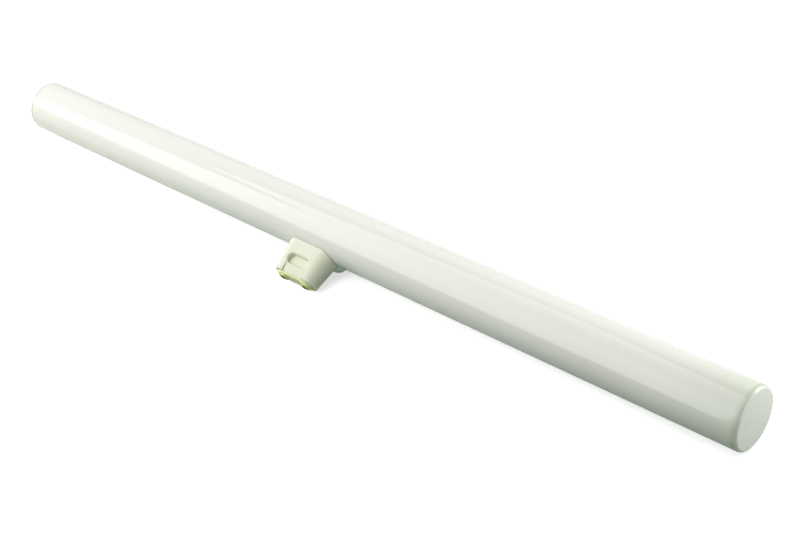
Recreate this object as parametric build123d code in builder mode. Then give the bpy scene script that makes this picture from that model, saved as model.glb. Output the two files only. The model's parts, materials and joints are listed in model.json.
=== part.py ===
"""Tubular lamp with one moulded cap at the middle of its length, lying as it comes to rest.

+X runs along the tube and +Z is up. The origin is under the middle of the lamp, on the surface it lies on.
The cap has a frame of its own on the tube axis: x along the tube, y across the cap, z away from the tube.
A rise is measured from the crown of the glass along the cap, and a reach from the tube axis.
"""
import os
from math import asin, atan2, cos, degrees, hypot, radians, sin, tan

from build123d import *

os.makedirs("parts", exist_ok=True)

# Glass tube
tube_length = 500.0
tube_dia = 30.0
shoulder_radius = 3.0  # where the wall turns into the end face
end_dome = 0.8  # how far the middle of an end face stands out

# Cap housing
cap_spacing = 16.8  # between the middles of its rounded ends
cap_width = 15.0  # at the crown of the glass
cap_rise = 16.4  # to the open rim
draft = 6.2  # degrees, all round
rim_edge = 0.4
wall = 1.6
web = 1.6  # between the saddle and the hollow

# Catch recess and lead-in ramp on each long face
recess_length = 15.0
recess_height = 5.6
recess_rise = 8.7  # to the middle of the recess
recess_depth = 2.5
recess_edge = 0.5
ramp_width = 13.8
ramp_depth = 1.1  # at the rim
ramp_angle = 8.0  # degrees to the face

# Contact carrier
carrier_stand = 0.8  # plate above the rim
carrier_clearance = 0.1  # to the long walls
carrier_end_gap = 0.5  # to the end walls
boss_height = 0.45
boss_wall = 0.7  # around the seat of a contact
boss_edge = 0.2

# Contacts, lead wires and solder
contact_dia = 5.6
contact_thickness = 0.85
contact_depth = 0.25  # face of the boss to the seat of the contact
contact_edge = 0.2
contact_clearance = 0.1
barrel_wall = 0.6
barrel_tail = 0.8  # barrel past the inner side of the carrier
lead_dia = 0.8
lead_clearance = 0.1  # in the barrel
lead_spacing = 6.0  # where the wires leave the glass
lead_hole = 3.0  # through the web and the cement
lead_bend = 2.0
lead_straight = 1.0  # beside the web and the barrel
bead_dia = 2.4
bead_height = 0.35
bead_edge = 0.3

# Cement
cement_thickness = 0.5
cement_inset = 0.8  # from the edge of the saddle
near_bead_radius = 5.2
near_bead_out = 4.5  # from the middle of the rounded end, along the tube
near_bead_down = 5.3
near_bead_sink = 2.7  # below the crown of the glass
far_bead_radius = 3.0
far_bead_out = 4.8
far_bead_up = 2.7
far_bead_sink = 0.4

# Sizes that follow
tube_radius = tube_dia / 2
saddle_radius = tube_radius + cement_thickness
cap_reach = tube_radius + cap_rise
recess_reach = tube_radius + recess_rise
hollow_reach = saddle_radius + web
carrier_reach = recess_reach + recess_height / 2 + wall
plate_reach = cap_reach + carrier_stand
boss_reach = plate_reach + boss_height
seat_reach = boss_reach - contact_depth
contact_reach = seat_reach + contact_thickness
tail_reach = carrier_reach - barrel_tail


def width_at(reach):
    """Width of the housing at a distance from the tube axis."""
    return cap_width - 2 * (reach - tube_radius) * tan(radians(draft))


hollow_width = width_at(cap_reach) - 2 * wall
waist_width = width_at(recess_reach) - 2 * (recess_depth + wall)
carrier_width = hollow_width - 2 * carrier_clearance
contact_spacing = cap_spacing - 2 * (carrier_end_gap - carrier_clearance)
seat_dia = contact_dia + 2 * contact_clearance
boss_dia = seat_dia + 2 * boss_wall
bore_dia = lead_dia + 2 * lead_clearance
barrel_dia = bore_dia + 2 * barrel_wall
near_bead = (cap_spacing / 2 + near_bead_out, -near_bead_down, tube_radius - near_bead_sink)
far_bead = (-cap_spacing / 2 - far_bead_out, far_bead_up, tube_radius - far_bead_sink)

# The lamp lies on the tube and on the lower edge of the rim: the cap dips until the two are level
edge_reach = cap_reach - rim_edge * cos(radians(draft))
edge_side = width_at(edge_reach) / 2
dip = asin(tube_radius / hypot(edge_reach, edge_side)) - atan2(edge_side, edge_reach)
front = contact_reach * cos(dip) + (contact_dia / 2 - contact_edge) * sin(dip)
axis_y = (front - tube_radius) / 2

tube_plane = Plane(origin=(0, axis_y, tube_radius), x_dir=(0, 1, 0), z_dir=(1, 0, 0))
cap_plane = Plane(origin=tube_plane.origin, x_dir=(1, 0, 0), z_dir=(0, -cos(dip), -sin(dip)))
cap_axis = Axis(cap_plane.origin, cap_plane.z_dir)
along_plane = Plane(origin=cap_plane.origin, x_dir=cap_plane.x_dir, z_dir=-cap_plane.y_dir)


def side_planes(reach, depth, lean):
    """Planes under both long faces, at a depth from the face at this reach, leaning in towards the rim."""
    return [
        Plane(
            origin=cap_plane.from_local_coords((0, side * (width_at(reach) / 2 - depth), reach)),
            x_dir=cap_plane.x_dir * -side,
            z_dir=cap_plane.y_dir * side * cos(radians(lean)) + cap_plane.z_dir * sin(radians(lean)),
        )
        for side in (1, -1)
    ]


# Sealed glass tube: slightly domed ends with a rounded shoulder
with BuildPart() as glass_tube:
    with BuildSketch(Plane(tube_plane.origin)) as section:
        with BuildLine():
            face_radius = (tube_radius**2 + end_dome**2) / (2 * end_dome)
            face_angle = degrees(asin(tube_radius / face_radius))
            near_end = JernArc((tube_length / 2, 0), (0, 1), face_radius, face_angle)
            far_end = JernArc((-tube_length / 2, 0), (0, 1), face_radius, -face_angle)
            Line(near_end @ 0, far_end @ 0)
            Line(near_end @ 1, far_end @ 1)
        make_face()
        fillet(section.vertices().group_by(Axis.Y)[-1], shoulder_radius)
    revolve(axis=Axis(tube_plane.origin, tube_plane.z_dir))

# Body of the housing before it is hollowed: drafted block with round ends and a saddle on the tube side
with BuildPart() as cap_body:
    with BuildSketch(cap_plane):
        SlotCenterToCenter(cap_spacing, width_at(0))
    extrude(amount=cap_reach, taper=draft)
    rim = cap_body.faces().sort_by(cap_axis)[-1]
    chamfer(rim.edges(), rim_edge)
    with BuildSketch(tube_plane):
        Circle(saddle_radius)
    extrude(amount=cap_spacing + cap_width, both=True, mode=Mode.SUBTRACT)

# Hollow of the housing: straight, with a waist between the backs of the catch recesses
with BuildPart() as cap_hollow:
    with BuildSketch(cap_plane.offset(hollow_reach)):
        SlotCenterToCenter(cap_spacing, hollow_width)
    extrude(amount=cap_reach - hollow_reach)
    with BuildSketch(cap_plane.offset(hollow_reach)):
        Rectangle(recess_length + 2 * wall, hollow_width)
        Rectangle(recess_length + 2 * wall, waist_width, mode=Mode.SUBTRACT)
    extrude(amount=carrier_reach - hollow_reach, mode=Mode.SUBTRACT)

# Cap housing: catch recess and lead-in ramp on each long face, hollow inside, two holes for the wires
with BuildPart() as cap_housing:
    add(cap_body.part)
    with BuildSketch(*side_planes(recess_reach, recess_depth, 0)):
        SlotOverall(recess_length, recess_height)
    extrude(amount=cap_width, mode=Mode.SUBTRACT)
    mouths = edges(Select.LAST).filter_by(
        lambda e: abs(cap_plane.to_local_coords(e.center()).Y) > width_at(cap_reach) / 2
    )
    chamfer(mouths, recess_edge)
    with BuildSketch(*side_planes(cap_reach, ramp_depth, draft + ramp_angle)):
        Rectangle(ramp_width, 2 * (cap_reach - recess_reach))
    extrude(amount=cap_width, mode=Mode.SUBTRACT)
    add(cap_hollow.part, mode=Mode.SUBTRACT)
    with BuildSketch(cap_plane):
        with GridLocations(lead_spacing, 0, 2, 1):
            Circle(lead_hole / 2)
    extrude(amount=hollow_reach, mode=Mode.SUBTRACT)

# Contact carrier: plate against the backs of the recesses, a low boss with a seat for each contact
with BuildPart() as contact_carrier:
    with BuildSketch(cap_plane.offset(carrier_reach)):
        SlotCenterToCenter(contact_spacing, carrier_width)
    extrude(amount=plate_reach - carrier_reach)
    with BuildSketch(cap_plane.offset(plate_reach)):
        with GridLocations(contact_spacing, 0, 2, 1):
            Circle(boss_dia / 2)
    extrude(amount=boss_height)
    boss_faces = contact_carrier.faces().group_by(cap_axis)[-1]
    chamfer(boss_faces.edges(), boss_edge)
    with BuildSketch(cap_plane.offset(boss_reach)):
        with GridLocations(contact_spacing, 0, 2, 1):
            Circle(seat_dia / 2)
    extrude(amount=-contact_depth, mode=Mode.SUBTRACT)
    with BuildSketch(cap_plane.offset(carrier_reach)):
        with GridLocations(contact_spacing, 0, 2, 1):
            Circle(barrel_dia / 2 + contact_clearance)
    extrude(amount=boss_reach - carrier_reach, mode=Mode.SUBTRACT)

# Cement: layer in the saddle, squeezed out in a bead round each end
with BuildPart() as cap_cement:
    with BuildSketch(cap_plane):
        SlotCenterToCenter(cap_spacing, cap_width - 2 * cement_inset)
        with GridLocations(lead_spacing, 0, 2, 1):
            Circle(lead_hole / 2, mode=Mode.SUBTRACT)
    extrude(amount=saddle_radius)
    with BuildSketch(tube_plane):
        Circle(saddle_radius)
    extrude(amount=cap_spacing + cap_width, both=True, mode=Mode.INTERSECT)
    with Locations(cap_plane.from_local_coords(near_bead)):
        Sphere(near_bead_radius)
    with Locations(cap_plane.from_local_coords(far_bead)):
        Sphere(far_bead_radius)
    add(glass_tube.part, mode=Mode.SUBTRACT)
    add(cap_body.part, mode=Mode.SUBTRACT)

# One contact, lead wire and solder bead towards each end of the tube
for end, side in (("near", 1), ("far", -1)):
    contact_foot = cap_plane.from_local_coords((side * contact_spacing / 2, 0, 0))
    contact_plane = Plane(contact_foot, z_dir=cap_plane.z_dir)

    # Contact: flat head in its seat and proud of the boss, hollow barrel through the carrier
    with BuildPart() as contact:
        with BuildSketch(contact_plane.offset(seat_reach)):
            Circle(contact_dia / 2)
        extrude(amount=contact_thickness)
        chamfer(contact.edges().sort_by(cap_axis)[-1], contact_edge)
        with BuildSketch(contact_plane.offset(tail_reach)):
            Circle(barrel_dia / 2)
        extrude(amount=seat_reach - tail_reach)
        with BuildSketch(contact_plane.offset(tail_reach)):
            Circle(bore_dia / 2)
        extrude(amount=contact_reach - tail_reach, mode=Mode.SUBTRACT)

    # Lead wire: out of the glass, across the hollow and through the barrel
    with BuildPart() as lead:
        with BuildLine(along_plane) as run:
            FilletPolyline(
                (side * lead_spacing / 2, tube_radius - lead_dia),
                (side * lead_spacing / 2, hollow_reach + lead_straight),
                (side * contact_spacing / 2, tail_reach - lead_straight),
                (side * contact_spacing / 2, contact_reach),
                radius=lead_bend,
            )
        with BuildSketch(Plane(run.line @ 0, z_dir=run.line % 0)):
            Circle(lead_dia / 2)
        sweep(path=run.line)
        add(glass_tube.part, mode=Mode.SUBTRACT)

    # Solder bead: low dome over the mouth of the barrel
    with BuildPart() as solder:
        with BuildSketch(contact_plane.offset(contact_reach)):
            Circle(bead_dia / 2)
        extrude(amount=bead_height)
        chamfer(solder.edges().sort_by(cap_axis)[-1], bead_edge)

    contact.part.label = f"contact_{end}"
    lead.part.label = f"lead_{end}"
    solder.part.label = f"solder_{end}"
    export_step(contact.part, f"parts/contact_{end}.step")
    export_step(lead.part, f"parts/lead_{end}.step")
    export_step(solder.part, f"parts/solder_{end}.step")

glass_tube.part.label = "glass_tube"
cap_housing.part.label = "cap_housing"
contact_carrier.part.label = "contact_carrier"
cap_cement.part.label = "cap_cement"
export_step(glass_tube.part, "parts/glass_tube.step")
export_step(cap_housing.part, "parts/cap_housing.step")
export_step(contact_carrier.part, "parts/contact_carrier.step")
export_step(cap_cement.part, "parts/cap_cement.step")
print(f"dip {degrees(dip):.3f} deg, tube axis at y {axis_y:.3f}, contacts {contact_spacing:.3f} apart")
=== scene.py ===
"""A tubular light bulb with one moulded cap at the middle of its length, lying on a pale studio floor."""
import json
import math

import bpy
import numpy as np
from mathutils import Euler, Matrix, Vector


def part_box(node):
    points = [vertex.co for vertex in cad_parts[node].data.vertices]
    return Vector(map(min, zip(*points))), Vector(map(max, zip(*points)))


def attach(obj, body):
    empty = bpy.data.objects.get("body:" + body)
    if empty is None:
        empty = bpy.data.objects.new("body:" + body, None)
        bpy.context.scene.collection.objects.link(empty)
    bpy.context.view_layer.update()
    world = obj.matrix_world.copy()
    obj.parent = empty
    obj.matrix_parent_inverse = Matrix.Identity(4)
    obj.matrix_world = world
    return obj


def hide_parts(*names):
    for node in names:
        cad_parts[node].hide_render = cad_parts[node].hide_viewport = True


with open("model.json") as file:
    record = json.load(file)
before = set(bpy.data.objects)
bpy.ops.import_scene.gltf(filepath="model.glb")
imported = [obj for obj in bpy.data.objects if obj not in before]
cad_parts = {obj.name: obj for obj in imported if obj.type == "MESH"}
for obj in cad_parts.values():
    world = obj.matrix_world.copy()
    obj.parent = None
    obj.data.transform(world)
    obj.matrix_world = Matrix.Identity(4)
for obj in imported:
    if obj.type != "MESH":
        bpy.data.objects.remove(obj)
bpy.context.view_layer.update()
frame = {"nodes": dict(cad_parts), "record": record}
nodes = frame["nodes"]

# Glass tube. One length of glass, drawn and then pressed shut at both ends while soft, so that the wall
# turns in a small round shoulder to a nearly flat face. The opal colour carries painted shade: darker and
# greener over the last stretch of the near end, and darker in a band where the wall meets each shoulder.
# The outer skin keeps the clear gloss and the faint long streaks of drawn glass.
tube_low, tube_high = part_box("glass_tube")
tube_middle = (tube_low + tube_high) / 2
tube_half = (tube_high.x - tube_low.x) / 2
tube_radius = (tube_high.y - tube_low.y) / 2
shoulder_radius = 0.0018
end_crown = 0.0008
wall_end = tube_half - end_crown - shoulder_radius
near_shade_length = 0.045
rim_shade_width = 0.002


def end_profile(face_steps=14, shoulder_steps=18):
    """Half section of one end as (distance along the axis, radius) from the middle of the face outwards.

    The face is an arc of a large circle that falls by end_crown over the radius of the tube. The shoulder
    is a small arc that touches that circle on the inside and the wall of the tube.
    """
    face_radius = (tube_radius**2 + end_crown**2) / (2 * end_crown)
    face_centre = tube_half - face_radius
    inset = tube_radius - shoulder_radius
    turn = math.asin(inset / (face_radius - shoulder_radius))
    shoulder_centre = face_centre + (face_radius - shoulder_radius) * math.cos(turn)
    face = np.linspace(0.0, turn, face_steps, endpoint=False)
    shoulder = np.linspace(turn, math.pi / 2, shoulder_steps)
    along = np.concatenate(
        [face_centre + face_radius * np.cos(face), shoulder_centre + shoulder_radius * np.cos(shoulder)]
    )
    out = np.concatenate([face_radius * np.sin(face), inset + shoulder_radius * np.sin(shoulder)])
    return along, out


def turned(along, out, steps):
    """Points and faces of a section turned about the first of the three axes.

    The section starts and ends on that axis. Each point between becomes a ring: its distance along stays,
    and its distance out times the cosine and the sine of the turn gives the other two. Quads join each
    ring to the next, and a fan of triangles closes each end.
    """
    angle = np.linspace(0.0, 2 * math.pi, steps, endpoint=False)
    ring_along = along[1:-1, None]
    ring_out = out[1:-1, None]
    count = len(ring_along)
    rings = np.stack(
        [np.broadcast_to(ring_along, (count, steps)), ring_out * np.cos(angle), ring_out * np.sin(angle)],
        axis=-1,
    ).reshape(-1, 3)
    points = np.concatenate([rings, [[along[0], 0, 0], [along[-1], 0, 0]]])
    here = np.arange(steps)
    after = (here + 1) % steps
    row = np.arange(count - 1)[:, None] * steps
    quads = np.stack([row + here, row + steps + here, row + steps + after, row + after], axis=-1)
    last = len(rings) - steps
    first_fan = np.stack([np.full(steps, len(rings)), here, after], axis=-1)
    last_fan = np.stack([np.full(steps, len(rings) + 1), last + after, last + here], axis=-1)
    return points, quads.reshape(-1, 4).tolist() + first_fan.tolist() + last_fan.tolist()


def tube_surface(wall_rings=48, steps=192):
    """Points and faces of the tube: its section turned about the tube's own axis.

    The section is the near end, evenly spaced points along the wall and the far end mirrored.
    """
    along, out = end_profile()
    wall = np.linspace(along[-1], -along[-1], wall_rings)[1:-1]
    section_along = np.concatenate([along, wall, -along[::-1]])
    section_out = np.concatenate([out, np.full(len(wall), tube_radius), out[::-1]])
    points, faces = turned(section_along, section_out, steps)
    return points + np.array(tube_middle), faces


def new_piece(name, points, faces):
    """Object at the origin with these points and faces, smooth all over."""
    mesh = bpy.data.meshes.new(name)
    mesh.from_pydata(points.tolist(), [], faces)
    mesh.shade_smooth()
    piece = bpy.data.objects.new(name, mesh)
    bpy.context.scene.collection.objects.link(piece)
    return piece


def new_node(tree, kind, inputs=None, **settings):
    """Node in a tree. Settings are its properties, inputs are constants or the sockets they come from."""
    node = tree.nodes.new("ShaderNode" + kind)
    for name, value in settings.items():
        setattr(node, name, value)
    for key, value in (inputs or {}).items():
        if isinstance(value, bpy.types.NodeSocket):
            tree.links.new(value, node.inputs[key])
        else:
            node.inputs[key].default_value = value
    return node


def worked_out(tree, operation, *values):
    """Socket with the result of one Math operation on these values."""
    return new_node(tree, "Math", dict(enumerate(values)), operation=operation).outputs["Value"]


def smooth_step(tree, value, low, high, start=0.0, end=1.0):
    """Socket that goes smoothly from start to end while the value goes from low to high."""
    span = {"Value": value, "From Min": low, "From Max": high, "To Min": start, "To Max": end}
    return new_node(tree, "MapRange", span, interpolation_type="SMOOTHSTEP").outputs["Result"]


def mixed(tree, share, first, second):
    """Socket with a colour between two colours, by the share of the second."""
    blend = {"Factor": share, "A": first, "B": second}
    return new_node(tree, "Mix", blend, data_type="RGBA").outputs["Result"]


def new_group(name, inputs, outputs):
    """Node group with named sockets. Gives its tree, its inner sources and a function to set an output."""
    tree = bpy.data.node_groups.new(name, "ShaderNodeTree")
    for label, kind in inputs.items():
        tree.interface.new_socket(label, in_out="INPUT", socket_type="NodeSocket" + kind)
    for label, kind in outputs.items():
        tree.interface.new_socket(label, in_out="OUTPUT", socket_type="NodeSocket" + kind)
    sources = tree.nodes.new("NodeGroupInput").outputs
    ends = tree.nodes.new("NodeGroupOutput").inputs
    return tree, sources, lambda label, socket: tree.links.new(socket, ends[label])


def use_group(tree, group, inputs):
    """Outputs of a node group placed in a material, with constants or sockets for its inputs."""
    return new_node(tree, "Group", inputs, node_tree=group).outputs


def new_material(name, constants):
    """Principled material with these constant inputs, its tree, its shader and its Object coordinates."""
    material = bpy.data.materials.new(name)
    material.use_nodes = True
    tree = material.node_tree
    shader = tree.nodes["Principled BSDF"]
    for key, value in constants.items():
        shader.inputs[key].default_value = value
    return material, tree, shader, new_node(tree, "TexCoord").outputs["Object"]


def dress(piece, material):
    """Give a piece this material alone."""
    piece.data.materials.clear()
    piece.data.materials.append(material)


# Uneven tint: two shades of one colour in soft clouds, with the cloud pattern itself as a height.
uneven_tint, source, put = new_group(
    "uneven_tint",
    {"Vector": "Vector", "Scale": "Float", "Pale": "Color", "Deep": "Color"},
    {"Color": "Color", "Height": "Float"},
)
clouds = new_node(
    uneven_tint,
    "TexNoise",
    {"Vector": source["Vector"], "Scale": source["Scale"], "Detail": 4.0, "Roughness": 0.55},
)
spread = smooth_step(uneven_tint, clouds.outputs["Fac"], 0.3, 0.7)
put("Color", mixed(uneven_tint, spread, source["Pale"], source["Deep"]))
put("Height", clouds.outputs["Fac"])

opal_glass, tree, shader, place = new_material(
    "opal_glass",
    {
        "Roughness": 0.55,
        "Specular IOR Level": 0.0,
        "Coat Weight": 1.0,
        "Coat Roughness": 0.08,
        "Coat IOR": 1.5,
    },
)
drawn = new_node(tree, "Mapping", {"Vector": place, "Scale": (0.12, 1.0, 1.0)})
opal = use_group(
    tree,
    uneven_tint,
    {
        "Vector": drawn.outputs["Vector"],
        "Scale": 90.0,
        "Pale": (0.89, 0.89, 0.825, 1),
        "Deep": (0.87, 0.875, 0.80, 1),
    },
)
along_tube = new_node(tree, "SeparateXYZ", {"Vector": place}).outputs["X"]
# Painted shade: the opal colour turns darker and greener over the last 45 mm of the near end.
near_end_shade = smooth_step(tree, along_tube, wall_end - near_shade_length, wall_end)
near_shaded_opal = mixed(tree, near_end_shade, opal["Color"], (0.775, 0.815, 0.695, 1))
from_middle = worked_out(tree, "ABSOLUTE", along_tube)
past_wall = worked_out(tree, "SUBTRACT", from_middle, wall_end)
on_face = smooth_step(tree, past_wall, 0.0, shoulder_radius)
with_faces = mixed(tree, on_face, near_shaded_opal, (0.87, 0.89, 0.815, 1))
# Painted shade: a dark olive band on both sides of the line where the wall meets the shoulder at each end.
from_rim_line = worked_out(tree, "ABSOLUTE", past_wall)
rim_shade = smooth_step(tree, from_rim_line, 0.0, rim_shade_width, start=0.9, end=0.0)
whole_tube = mixed(tree, rim_shade, with_faces, (0.62, 0.67, 0.52, 1))
tree.links.new(whole_tube, shader.inputs["Base Color"])
streaks = new_node(tree, "Bump", {"Strength": 0.04, "Distance": 0.0002, "Height": opal["Height"]})
tree.links.new(streaks.outputs["Normal"], shader.inputs["Normal"])

opal_tube = new_piece("opal_tube", *tube_surface())
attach(opal_tube, "root")
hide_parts("glass_tube")
dress(opal_tube, opal_glass)

# Lead wires. Two short ends of drawn wire that come out of the glass under the cap, cross its hollow
# and run up the barrels of the contacts. The wire is dull from the heat of sealing and soldering.
tarnish, source, put = new_group(
    "tarnish",
    {"Vector": "Vector", "Scale": "Float", "Clean": "Color", "Dull": "Color"},
    {"Color": "Color", "Roughness": "Float"},
)
stain = new_node(
    tarnish,
    "TexNoise",
    {"Vector": source["Vector"], "Scale": source["Scale"], "Detail": 6.0, "Roughness": 0.65},
)
spots = smooth_step(tarnish, stain.outputs["Fac"], 0.36, 0.62)
matt = new_node(tarnish, "MapRange", {"Value": spots, "To Min": 0.32, "To Max": 0.6})
put("Color", mixed(tarnish, spots, source["Clean"], source["Dull"]))
put("Roughness", matt.outputs["Result"])

lead_wire, tree, shader, place = new_material("lead_wire", {"Metallic": 1.0})
wire = use_group(
    tree,
    tarnish,
    {"Vector": place, "Scale": 900.0, "Clean": (0.62, 0.55, 0.46, 1), "Dull": (0.38, 0.30, 0.24, 1)},
)
tree.links.new(wire["Color"], shader.inputs["Base Color"])
tree.links.new(wire["Roughness"], shader.inputs["Roughness"])
dress(nodes["lead_near"], lead_wire)
dress(nodes["lead_far"], lead_wire)

# Cement. A pale blue-green paste spread in the saddle of the cap, pressed out round its ends when the cap
# was set on the glass and left to harden there, so what shows is rough, lumpy and a little chalky. It
# is painted grey towards the far end of the cap, as painted shade.
cap_out = Vector(frame["record"]["mounts"][0]["axis"])
cap_along = Vector((1, 0, 0))
cap_across = cap_out.cross(cap_along)
bead_along = 0.0129
bead_below = 0.0053
bead_out = 0.0123
bead_place = tube_middle + cap_along * bead_along - cap_across * bead_below + cap_out * bead_out
bead_radius = 0.0052
lump_share = 0.97
lump_waves = (4, 5, 7, 9, 12, 16, 21)
far_shade_reach = 0.01


def lumpy_ball(centre, radius, rows=72, steps=144, lump=0.035, seed=4):
    """Points and faces of a closed ball whose radius swells and sinks in a few rounded lumps.

    The ball is a half circle turned about Z. The radius at each direction is the plain radius times one
    plus a sum of cosine waves. Each wave has a random direction and phase, and its height falls as its
    count of waves rises.
    """
    rng = np.random.default_rng(seed)
    polar = np.linspace(0.0, math.pi, rows + 1)
    points, faces = turned(np.cos(polar), np.sin(polar), steps)
    ball = np.roll(points, -1, axis=1)
    swell = np.zeros(len(ball))
    for waves in lump_waves:
        way = rng.normal(size=3)
        way /= np.linalg.norm(way)
        swell += np.cos(waves * (ball @ way) + rng.uniform(0, 2 * math.pi)) * lump_waves[0] / waves
    return np.array(centre) + ball * radius * (1 + lump * swell)[:, None], faces


cement, tree, shader, place = new_material("cement", {"Roughness": 0.8, "Specular IOR Level": 0.3})
paste = use_group(
    tree,
    uneven_tint,
    {"Vector": place, "Scale": 420.0, "Pale": (0.88, 0.96, 0.90, 1), "Deep": (0.70, 0.82, 0.75, 1)},
)
along_cap = new_node(tree, "SeparateXYZ", {"Vector": place}).outputs["X"]
# Painted shade: the paste turns grey towards the far end of the cap.
far_shade = smooth_step(tree, along_cap, 0.0, -far_shade_reach)
far_shaded_paste = mixed(tree, far_shade, paste["Color"], (0.50, 0.52, 0.45, 1))
tree.links.new(far_shaded_paste, shader.inputs["Base Color"])
chalky = new_node(tree, "Bump", {"Strength": 0.6, "Distance": 0.0003, "Height": paste["Height"]})
tree.links.new(chalky.outputs["Normal"], shader.inputs["Normal"])

cement_lumps = new_piece("cement_lumps", *lumpy_ball(bead_place, bead_radius * lump_share))
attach(cement_lumps, "root")
dress(cement_lumps, cement)
dress(nodes["cap_cement"], cement)

# Cap housing. One injection moulding in off-white plastic with drafted walls, gone a little yellow. The
# mould was finished by spark erosion, which leaves a fine even grain, so the skin is satin.
mould_grain, source, put = new_group(
    "mould_grain", {"Vector": "Vector"}, {"Roughness": "Float", "Height": "Float"}
)
grain = new_node(mould_grain, "TexNoise", {"Vector": source["Vector"], "Scale": 3200.0, "Detail": 2.0})
handled = new_node(mould_grain, "TexNoise", {"Vector": source["Vector"], "Scale": 260.0, "Detail": 3.0})
satin = new_node(mould_grain, "MapRange", {"Value": handled.outputs["Fac"], "To Min": 0.36, "To Max": 0.6})
put("Roughness", satin.outputs["Result"])
put("Height", grain.outputs["Fac"])


def moulded(name, pale, deep):
    """Satin plastic: a tint that wanders between two shades over a fine grain."""
    material, tree, shader, place = new_material(name, {"Specular IOR Level": 0.4})
    tint = use_group(tree, uneven_tint, {"Vector": place, "Scale": 150.0, "Pale": pale, "Deep": deep})
    skin = use_group(tree, mould_grain, {"Vector": place})
    relief = new_node(tree, "Bump", {"Strength": 0.12, "Distance": 0.00005, "Height": skin["Height"]})
    tree.links.new(tint["Color"], shader.inputs["Base Color"])
    tree.links.new(skin["Roughness"], shader.inputs["Roughness"])
    tree.links.new(relief.outputs["Normal"], shader.inputs["Normal"])
    return material


dress(nodes["cap_housing"], moulded("cap_plastic", (0.83, 0.85, 0.70, 1), (0.80, 0.83, 0.655, 1)))

# Contact carrier. A second moulding in pale lime plastic that closes the hollow of the cap. It sits on
# the backs of the catch recesses, and a low boss rings the seat of each contact.
dress(nodes["contact_carrier"], moulded("carrier_plastic", (0.82, 0.91, 0.52, 1), (0.76, 0.86, 0.45, 1)))

# Contacts. Turned brass rivets, a flat head in each seat and a hollow barrel through the carrier. Years
# in a lampholder have left the heads olive. The middle of each head is coloured black.
# Faint rings from the lathe still show.
contact_low, contact_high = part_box("contact_near")
contact_x = (contact_low.x + contact_high.x) / 2
contact_radius = (contact_high.x - contact_low.x) / 2
black_core = contact_radius * 0.55
black_edge = contact_radius * 0.7
ring_pitch = 0.0004
contact_metal, tree, shader, place = new_material(
    "contact_metal", {"Metallic": 1.0, "Specular Tint": (0.6, 0.68, 0.25, 1)}
)
into_cap = Matrix((cap_along, cap_across, cap_out))
on_cap = new_node(
    tree,
    "Mapping",
    {"Vector": place, "Location": -(into_cap @ tube_middle), "Rotation": into_cap.to_euler()},
)
head = new_node(tree, "SeparateXYZ", {"Vector": on_cap.outputs["Vector"]}).outputs
either_end = worked_out(tree, "ABSOLUTE", head["X"])
off_centre = worked_out(tree, "SUBTRACT", either_end, contact_x)
spoke = new_node(tree, "CombineXYZ", {"X": off_centre, "Y": head["Y"]})
reach = new_node(tree, "VectorMath", {0: spoke.outputs["Vector"]}, operation="LENGTH").outputs["Value"]
brass = use_group(
    tree,
    tarnish,
    {"Vector": place, "Scale": 700.0, "Clean": (0.58, 0.64, 0.26, 1), "Dull": (0.40, 0.45, 0.17, 1)},
)
# The middle of each head is coloured nearly black, fading to the olive brass towards its edge.
rim = smooth_step(tree, reach, black_core, black_edge)
black_middle = mixed(tree, rim, (0.015, 0.016, 0.008, 1), brass["Color"])
turns = worked_out(tree, "MULTIPLY", reach, 2 * math.pi / ring_pitch)
lathe = worked_out(tree, "SINE", turns)
rings = new_node(tree, "Bump", {"Strength": 0.15, "Distance": 0.00002, "Height": lathe})
tree.links.new(black_middle, shader.inputs["Base Color"])
tree.links.new(brass["Roughness"], shader.inputs["Roughness"])
tree.links.new(rings.outputs["Normal"], shader.inputs["Normal"])
dress(nodes["contact_near"], contact_metal)
dress(nodes["contact_far"], contact_metal)

# Solder. A drop of soft solder on each contact closes the barrel over the end of the wire. It set to a
# low dome, and is coloured nearly black and dull, like the middle of the contact.
solder, tree, shader, place = new_material(
    "solder", {"Metallic": 1.0, "Specular Tint": (0.4, 0.4, 0.25, 1)}
)
drop = use_group(
    tree,
    tarnish,
    {"Vector": place, "Scale": 1100.0, "Clean": (0.07, 0.07, 0.045, 1), "Dull": (0.03, 0.03, 0.02, 1)},
)
tree.links.new(drop["Color"], shader.inputs["Base Color"])
tree.links.new(drop["Roughness"], shader.inputs["Roughness"])
dress(nodes["solder_near"], solder)
dress(nodes["solder_far"], solder)

# Studio floor. A wide sheet of card, white to the camera and in reflections, and lifted to pure white for
# the camera away from the bulb. It throws less light back than it seems to, and its bounce colour carries
# painted shade: darker and greener towards the near end, so that it throws least light back there.
floor_half = 6.0
floor_drop = 0.0001
bounce_shade_reach = 0.24
white_from = 0.45
white_at = 0.85
lift_at_bulb = 0.62
corners = np.array([(-1, -1, 0), (1, -1, 0), (1, 1, 0), (-1, 1, 0)]) * floor_half - (0, 0, floor_drop)
floor = new_piece("floor", corners, [(0, 1, 2, 3)])


def seen_directly(tree):
    """Socket that is 1 for rays from the camera, from a gloss or through glass, and 0 for all other rays."""
    path = new_node(tree, "LightPath").outputs
    mirrored = worked_out(tree, "MAXIMUM", path["Is Glossy Ray"], path["Is Transmission Ray"])
    return worked_out(tree, "MAXIMUM", path["Is Camera Ray"], mirrored)


card = bpy.data.materials.new("card")
card.use_nodes = True
tree = card.node_tree
tree.nodes.clear()
on_floor = new_node(tree, "TexCoord").outputs["Object"]
along_floor = new_node(tree, "SeparateXYZ", {"Vector": on_floor}).outputs["X"]
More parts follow.
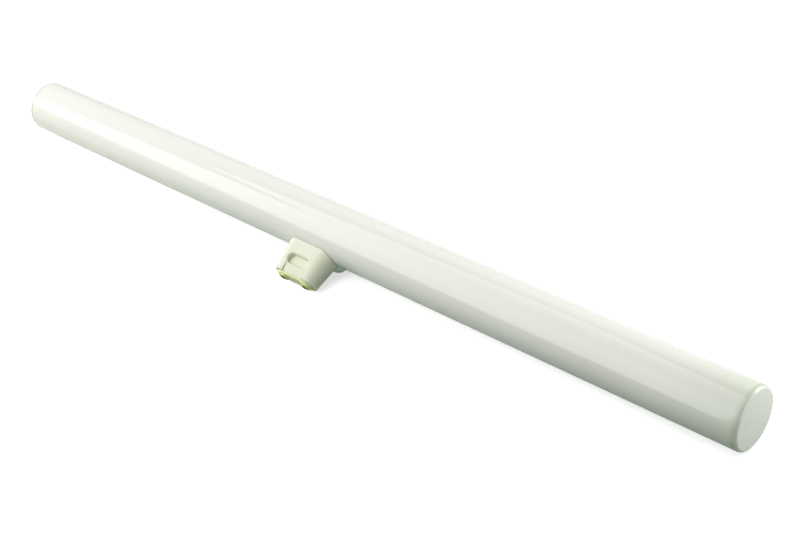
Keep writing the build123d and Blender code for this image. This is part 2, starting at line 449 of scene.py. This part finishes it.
# Painted shade: the light the card throws back fades to a dark green towards the near end.
near_bounce_shade = new_node(
    tree, "MapRange", {"Value": along_floor, "From Min": -bounce_shade_reach, "From Max": bounce_shade_reach}
)
bounce_with_shade = mixed(tree, near_bounce_shade.outputs["Result"], (0.52, 0.58, 0.48, 1), (0.0, 0.10, 0.03, 1))
card_colour = mixed(tree, seen_directly(tree), bounce_with_shade, (0.9, 0.9, 0.9, 1))
away = new_node(tree, "VectorMath", {0: on_floor}, operation="LENGTH").outputs["Value"]
white_beyond = smooth_step(tree, away, white_from, white_at, start=lift_at_bulb, end=1.0)
from_camera = new_node(tree, "LightPath").outputs["Is Camera Ray"]
lift = worked_out(tree, "MULTIPLY", from_camera, white_beyond)
matt_card = new_node(tree, "BsdfDiffuse", {"Color": card_colour})
glow = new_node(tree, "Emission", {"Strength": lift})
both = new_node(tree, "AddShader", {0: matt_card.outputs["BSDF"], 1: glow.outputs["Emission"]})
new_node(tree, "OutputMaterial", {"Surface": both.outputs["Shader"]})
dress(floor, card)

# Studio lamps. Plain soft panels, each given by its middle, its width and height, how bright it is beside
# white card, and the point that it faces. The white backdrop behind them shows to the camera and in gloss,
# and lights nothing else.
scene = bpy.context.scene


def panel(name, middle, size, level, target=(0, 0, 0.01)):
    """Soft rectangular lamp whose face has this brightness."""
    data = bpy.data.lights.new(name, "AREA")
    data.shape = "RECTANGLE"
    data.size, data.size_y = size
    data.energy = level * math.pi * size[0] * size[1]
    lamp = bpy.data.objects.new(name, data)
    scene.collection.objects.link(lamp)
    lamp.location = middle
    lamp.rotation_euler = (Vector(target) - Vector(middle)).to_track_quat("-Z", "Y").to_euler()


panel("front_left", (-0.37, -0.425, 0.525), (0.87, 0.75), 2.35, (0.307, 0.311, 0.525))
panel("overhead", (-0.30, 0.0, 0.92), (1.2, 0.75), 2.0, (-0.232, 0.074, 0))
panel("far_end", (-0.88, 0.0, 0.19), (0.5, 0.4), 2.0)
panel("low_back", (0.50, 0.72, 0.19), (0.5, 0.4), 11.2)
panel("low_right", (0.90, -0.05, 0.10), (0.5, 0.16), 6.0)

world = bpy.data.worlds.new("world")
scene.world = world
world.use_nodes = True
backdrop = world.node_tree.nodes["Background"]
backdrop.inputs["Color"].default_value = (1, 1, 1, 1)
world.node_tree.links.new(seen_directly(world.node_tree), backdrop.inputs["Strength"])

# Camera. It looks down on the bulb from beyond the near end, on the side of the cap, with its right side
# dipped. Its angles are in degrees.
camera_place = Vector((0.46646, -0.30568, 0.46838))
camera_tilt = 47.272
camera_lean = 12.729
camera_heading = 41.660
camera_data = bpy.data.cameras.new("camera")
camera_data.sensor_width = 36
camera_data.lens = 62.84
camera = bpy.data.objects.new("camera", camera_data)
scene.collection.objects.link(camera)
camera_turn = Euler(np.radians((camera_tilt, camera_lean, camera_heading)))
camera.matrix_world = Matrix.LocRotScale(camera_place, camera_turn, None)
scene.camera = camera
scene.view_settings.view_transform = "Standard"
